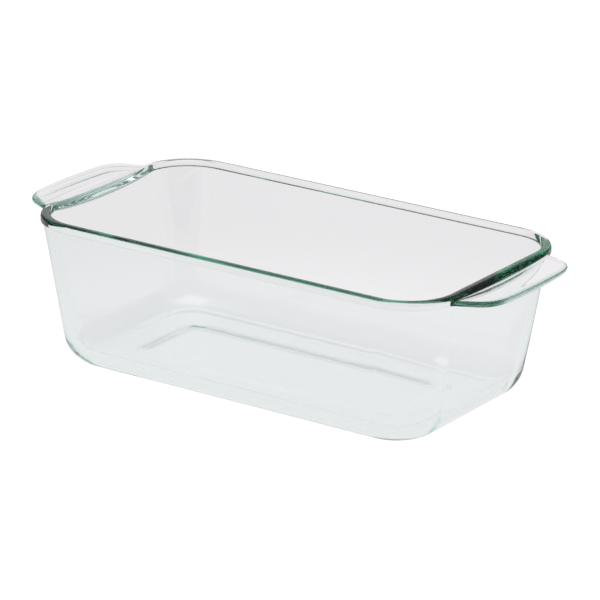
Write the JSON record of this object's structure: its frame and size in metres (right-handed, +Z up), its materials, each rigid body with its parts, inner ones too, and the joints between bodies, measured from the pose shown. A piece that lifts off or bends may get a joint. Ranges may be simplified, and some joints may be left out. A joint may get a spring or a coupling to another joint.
{
  "type": "loaf pan",
  "caption": "Clear pressed-glass loaf pan: a deep tapered tray with rounded corners, a raised rim band and a scooped tab handle at each end.",
  "frame": {"origin": "on the ground below the centre of the pan", "axes": "+X along the pan's length towards handle_right, +Z up"},
  "size_m": [0.2624, 0.1256, 0.073],
  "materials": {
    "glass": "clear polished pressed glass with a faint green tint where it is seen edge on"
  },
  "bodies": {
    "root": {"rim": "glass", "walls": "glass", "base_panel": "glass", "handle_left": "glass", "handle_right": "glass"}
  },
  "joints": []
}
